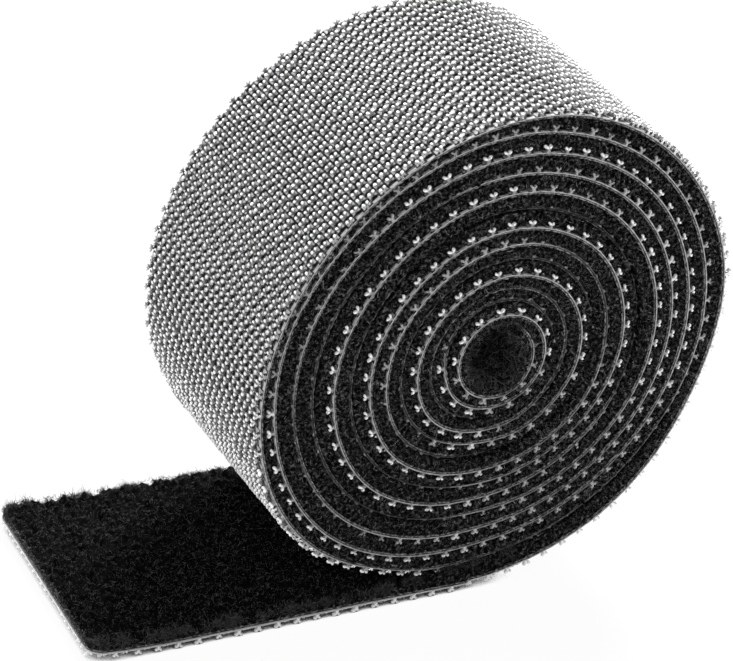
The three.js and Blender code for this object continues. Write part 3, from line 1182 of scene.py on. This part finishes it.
    def ground(self, start, end):
        """A stretch of knitted ground with ragged edges."""
        stations = self.path.stations(start, min(end, self.path.end - self.tape.ledge), self.STEP)
        along = stations[:, None]
        ragged = self.RAGGED * waves(along, np.zeros((1, 4)), *self.RAGGED_WAVES, self.RAGGED_SEED)
        half = backing_half(self.path, self.tape, stations)[:, None]
        across = np.array([-1.0, 1.0, 1.0, -1.0]) * (half + ragged)
        height = np.array([self.ground_top, self.ground_top, self.ground_bottom, self.ground_bottom])
        return sweep(self.path, stations, across, height, [self.GROUND], self.GROUND)

    def slab(self, start, end, fine, face_tint=0.0):
        """The body of the pile: two uneven edges, and a face that is fine where it is open."""
        stations = self.path.stations(start, min(end, self.path.end - self.pile.tail_recess), self.STEP)
        length = stations[:, None]
        if fine:
            inner = np.linspace(-1, 1, self.OPEN_POINTS)
        else:
            near = np.array(self.COVERED_PLACES)
            inner = np.concatenate([-near, near[::-1]])
        front, back = self.edges(length)
        across = front + (back - front) * (inner + 1) / 2
        rounded = self.EDGE_ROUNDING * smooth((np.abs(inner) - self.ROUNDED_FROM) / (1 - self.ROUNDED_FROM))
        top = self.ground_bottom + self.PILE_ROOT
        thick = self.pile_height(length) + self.relief(length, across) - rounded
        depth = self.ground_bottom - np.maximum(thick, self.THINNEST_PILE)

        down = np.linspace(0, 1, self.EDGE_POINTS + 1)[:-1]
        walls = []
        for edge, corner, seed in ((front, 0, 1), (back, -1, 3)):
            wall_height = top + (depth[:, [corner]] - top) * down
            uneven = self.EDGE_RELIEF * waves(length, wall_height, *self.EDGE_WAVES, self.pile.seed + seed)
            walls.append((edge + uneven, wall_height))
        left, right = walls
        tint = np.concatenate([np.ones(len(down) * 2), np.full(len(inner), face_tint)])
        face = np.broadcast_to(across, depth.shape)
        across = np.concatenate([left[0][:, ::-1], right[0], face[:, ::-1]], axis=1)
        height = np.concatenate([left[1][:, ::-1], right[1], depth[:, ::-1]], axis=1)
        return sweep(self.path, stations, across, height, [self.PILE], self.PILE, tint)

    def face_fibres(self, start, end, density, seed):
        """Fibres that stand out of the open face of the pile."""
        chance = np.random.default_rng(seed)
        half = self.path.half_width
        number = int(density * (end - start) * 2 * half / MM ** 2)
        length = chance.uniform(start, end, number)
        across = chance.uniform(-half, half, number) * self.path.width_share(length)
        reach = self.pile.fibre_length * chance.uniform(*self.FIBRE_SHARES, number)
        tint = chance.uniform(0, self.FACE_TINT, number)
        return self.standing(chance, length, across, reach, tint)

    def bore_fibres(self, start, end):
        """Long fibres that stand into the bore near both its ends."""
        chance = np.random.default_rng(self.BORE_SEED)
        number = int(self.pile.bore_fibres * (end - start) * 2 * self.BORE_REACH / MM ** 2)
        length = chance.uniform(start, end, number)
        side = np.where(np.arange(number) % 2, 1.0, -1.0)
        across = side * (self.path.half_width - self.BORE_REACH * chance.uniform(0, 1, number))
        reach = self.pile.bore_length * chance.uniform(*self.BORE_SHARES, number)
        return self.standing(chance, length, across, reach, chance.uniform(*self.BORE_TINTS, number))

    def standing(self, chance, length, across, reach, tint):
        """Fibres that stand out of the pile's face at any slope."""
        face = self.ground_bottom - self.pile_height(length) - self.relief(length, across)
        along, aside, tilt = chance.normal(0.0, 1.0, (3, len(length)))
        out = self.FACE_OUT[0] + self.FACE_OUT[1] * tilt
        return self.grown(chance, length, across, face + self.FACE_ROOT, along, aside, out, reach, tint)

    def edge_fibres(self, start, end, tufted, seed):
        """Fibres that stand out of both cut edges of the pile, longer and in tufts along the tail."""
        chance = np.random.default_rng(seed)
        per_mm = self.pile.tuft_fibres if tufted else self.pile.edge_fibres
        number = int(per_mm * (end - start) / MM) * 2
        length = chance.uniform(start, end, number)
        tufts = chance.uniform(start, end, math.ceil((end - start) / self.TUFT_PITCH))
        if tufted:
            tuft = chance.integers(0, len(tufts), number)
            length = np.clip(chance.normal(tufts[tuft], self.TUFT_PITCH / 3), start, end)
        side = np.where(np.arange(number) % 2, 1.0, -1.0)
        front, back = self.edges(length)
        across = np.where(side < 0, front, back) - side * self.EDGE_ROOT
        across *= self.path.width_share(length)
        depth = chance.uniform(0.0, 1.0, number)
        slope = chance.normal(0.0, self.EDGE_SPREAD, (2, number))
        reach = self.pile.fibre_length * chance.uniform(*self.FIBRE_SHARES, number)
        if tufted:
            depth = 1 - depth ** 2
            tallness = chance.uniform(*self.TUFT_SHARES, len(tufts))[tuft]
            reach = self.pile.tuft_length * tallness * chance.uniform(*self.IN_TUFT_SHARES, number)
            across -= side * self.TUFT_DEPTH * chance.uniform(0, 1, number)
            slope[1] = -np.abs(slope[1]) - self.TUFT_OUT
        root = self.ground_bottom - depth * self.pile_height(length)
        tint = chance.uniform(0, 1, number) ** self.PALE_POWER * (self.FACE_TINT if tufted else 1.0)
        return self.grown(chance, length, across, root, slope[0], side, slope[1], reach, tint)

    def tip_fibres(self):
        """Fibres that stand out of the pile's cut end at the tip of the tail."""
        chance = np.random.default_rng(self.TIP_SEED)
        half = self.path.half_width - self.tape.corner
        number = int(self.pile.tip_fibres * 2 * half / MM)
        length = np.full(number, self.path.end - self.pile.tail_recess - self.TIP_ROOT)
        across = chance.uniform(-half, half, number)
        root = self.ground_bottom - chance.uniform(0.0, 1.0, number) * self.tape.pile
        slope = chance.normal(0.0, 1.0, (2, number))
        reach = self.pile.fibre_length * chance.uniform(*self.TIP_SHARES, number)
        tint = chance.uniform(0, 1.0, number)
        return self.grown(chance, length, across, root, np.ones(number), slope[0], slope[1], reach, tint)

    def grown(self, chance, length, across, height, along, aside, out, reach, tint):
        """Curled fibres from roots on the tape, with headings along it, across it and out from it."""
        site = self.path.at(length)
        roots = lifted(site, across, height)
        heading = np.stack([site.along_x * along - site.along_z * out, aside,
                            site.along_z * along + site.along_x * out], axis=1)
        heading /= np.linalg.norm(heading, axis=1, keepdims=True)
        arcs = chance.uniform(*self.ARCS, len(length))
        on_tape = np.stack([length, across, height], axis=1)
        return fibres(roots, on_tape, heading, reach, arcs, self.pile.fibre_radius, tint)


class TAPEROLL_OT_stage(bpy.types.Operator):
    """Set up the floor, the lights and the camera"""

    bl_idname = "taperoll.stage"
    bl_label = "Set Up Stage"

    # Name, place and size in metres and power in watts of each soft box, and the point at which they all aim
    SOFT_BOXES = [
        ("key", (-0.35, -0.55, 0.75), 0.5, 2.4),
        ("front", (-0.55, -1.0, 0.65), 0.3, 4.0),
        ("rim", (0.4, 0.5, 0.65), 0.4, 22.0),
        ("left", (-0.65, 0.55, 0.08), 0.4, 6.0),
    ]
    AIM = (0, 0, 0.02)
    DOME = 0.3

    # Half the floor's width in metres, and the share of it that the camera sees as pure white; the rest
    # keeps the shadow
    FLOOR_HALF = 3.0
    FLOOR_WHITE = 0.95

    # Reach of the contact shadow under the tape, the range of openness in which it fades, and its shade
    CONTACT = 1.5 * MM
    CONTACT_FADE = (0.25, 0.45)
    CONTACT_SHADE = 0.12

    def execute(self, context):
        settings = context.scene.tape_roll
        self.floor(settings.finish)
        for name, place, width, power in self.SOFT_BOXES:
            self.soft_box(name, Vector(place), width, power)
        self.world(context.scene)
        self.camera(context.scene, settings.stage)
        context.scene.view_settings.view_transform = "Standard"
        return {"FINISHED"}

    def floor(self, finish):
        """A pale paper floor that keeps the shadow, and shows as white to the camera and in reflections."""
        half = self.FLOOR_HALF
        corners = [(-half, -half, 0), (half, -half, 0), (half, half, 0), (-half, half, 0)]
        mesh = bpy.data.meshes.new("studio_floor")
        mesh.from_pydata(corners, [], [(0, 1, 2, 3)])
        material, tree = new_material("studio paper")
        place = add_node(tree, "ShaderNodeTexCoord")
        fibre = add_node(tree, "ShaderNodeTexNoise", {"Vector": place.outputs["Object"], "Scale": per(3.0)})
        colours = add_node(tree, "ShaderNodeValToRGB", {"Fac": fibre.outputs["Fac"]}, stops=[
            (0.3, shaded(finish.floor, 0.98)), (0.7, finish.floor)])
        white = add_node(tree, "ShaderNodeEmission", {"Color": (1, 1, 1, 1), "Strength": 1.0})
        near = add_node(tree, "ShaderNodeAmbientOcclusion", {"Distance": self.CONTACT}, samples=8)
        share = add_node(tree, "ShaderNodeMapRange", {
            "Value": near.outputs["AO"], "From Min": self.CONTACT_FADE[0], "From Max": self.CONTACT_FADE[1],
            "To Max": self.FLOOR_WHITE})
        shadow = (*shaded(finish.floor, self.CONTACT_SHADE), 1.0)
        dimmed = add_node(tree, "ShaderNodeMix", {
            "Factor": share.outputs[0], FIRST: shadow, SECOND: colours.outputs["Color"]}, data_type="RGBA")
        paper = add_node(tree, "ShaderNodeBsdfDiffuse", {"Color": dimmed.outputs[BLEND]})
        lit = add_node(tree, "ShaderNodeMixShader", {
            "Fac": share.outputs[0], 1: paper.outputs[0], 2: white.outputs[0]})
        seen = add_node(tree, "ShaderNodeMixShader", {
            "Fac": self.seen(tree), 1: paper.outputs[0], 2: lit.outputs[0]})
        add_node(tree, "ShaderNodeOutputMaterial", {"Surface": seen.outputs[0]})
        mesh.materials.append(material)
        floor = bpy.data.objects.new("studio_floor", mesh)
        bpy.context.scene.collection.objects.link(floor)

    def seen(self, tree):
        """One for rays from the camera, and for those that metal or glass sends on."""
        path = add_node(tree, "ShaderNodeLightPath").outputs
        mirrored = add_node(tree, "ShaderNodeMath", {
            0: path["Is Glossy Ray"], 1: path["Is Transmission Ray"]}, operation="MAXIMUM")
        either = add_node(tree, "ShaderNodeMath", {
            0: path["Is Camera Ray"], 1: mirrored.outputs[0]}, operation="MAXIMUM")
        return either.outputs[0]

    def soft_box(self, name, place, width, power):
        light = bpy.data.lights.new(name, "AREA")
        light.shape = "DISK"
        light.size = width
        light.energy = power
        box = bpy.data.objects.new(name, light)
        box.location = place
        box.rotation_euler = (Vector(self.AIM) - place).to_track_quat("-Z", "Y").to_euler()
        bpy.context.scene.collection.objects.link(box)

    def world(self, scene):
        world = bpy.data.worlds.new("studio")
        world.use_nodes = True
        tree = world.node_tree
        tree.nodes.clear()
        dome = add_node(tree, "ShaderNodeBackground", {"Color": (1, 1, 1, 1), "Strength": self.DOME})
        white = add_node(tree, "ShaderNodeBackground", {"Color": (1, 1, 1, 1), "Strength": 1.0})
        mixed = add_node(tree, "ShaderNodeMixShader", {
            "Fac": self.seen(tree), 1: dome.outputs[0], 2: white.outputs[0]})
        add_node(tree, "ShaderNodeOutputWorld", {"Surface": mixed.outputs[0]})
        scene.world = world

    def camera(self, scene, stage):
        """A long lens at the photograph's angle, with its small tilt."""
        level = math.cos(stage.elevation)
        sine, cosine = math.sin(stage.azimuth), math.cos(stage.azimuth)
        back = Vector((sine * level, -cosine * level, math.sin(stage.elevation)))
        flat = Vector((cosine, sine, 0))
        upright = back.cross(flat)
        right = math.cos(stage.tilt) * flat + math.sin(stage.tilt) * upright
        up = back.cross(right)
        place = Vector((stage.target_x, 0, stage.target_z)) + stage.distance * back
        lens = bpy.data.cameras.new("camera")
        lens.sensor_width = 36.0
        lens.lens = stage.lens
        lens.clip_start = 0.01
        camera = bpy.data.objects.new("camera", lens)
        camera.matrix_world = Matrix((right, up, back)).transposed().to_4x4()
        camera.location = place
        scene.collection.objects.link(camera)
        scene.camera = camera


BUILDERS = [TAPEROLL_OT_hook_strip, TAPEROLL_OT_bond, TAPEROLL_OT_loop_strip, TAPEROLL_OT_stage]


class TAPEROLL_PT_sidebar(bpy.types.Panel):
    """Settings and builders of the tape roll"""

    bl_idname = "TAPEROLL_PT_sidebar"
    bl_label = "Tape Roll"
    bl_space_type = "VIEW_3D"
    bl_region_type = "UI"
    bl_category = "Tape Roll"

    def draw(self, context):
        settings = context.scene.tape_roll
        for group in ("tape", "roll", "pile", "finish", "stage"):
            box = self.layout.box()
            box.label(text=group.capitalize())
            values = getattr(settings, group)
            for name in values.__annotations__:
                box.prop(values, name)
        for builder in BUILDERS:
            self.layout.operator(builder.bl_idname)


SETTINGS = [TapeSizes, RollSizes, PileSizes, Finishes, StageSizes, TapeRollSettings]
CLASSES = [*SETTINGS, *BUILDERS, TAPEROLL_PT_sidebar]


def register():
    for each in CLASSES:
        bpy.utils.register_class(each)
    bpy.types.Scene.tape_roll = PointerProperty(type=TapeRollSettings)


def unregister():
    del bpy.types.Scene.tape_roll
    for each in reversed(CLASSES):
        bpy.utils.unregister_class(each)


def main():
    register()
    bpy.ops.taperoll.stage()
    bpy.ops.taperoll.hook_strip()
    bpy.ops.taperoll.bond()
    bpy.ops.taperoll.loop_strip()


if __name__ == "__main__":
    main()
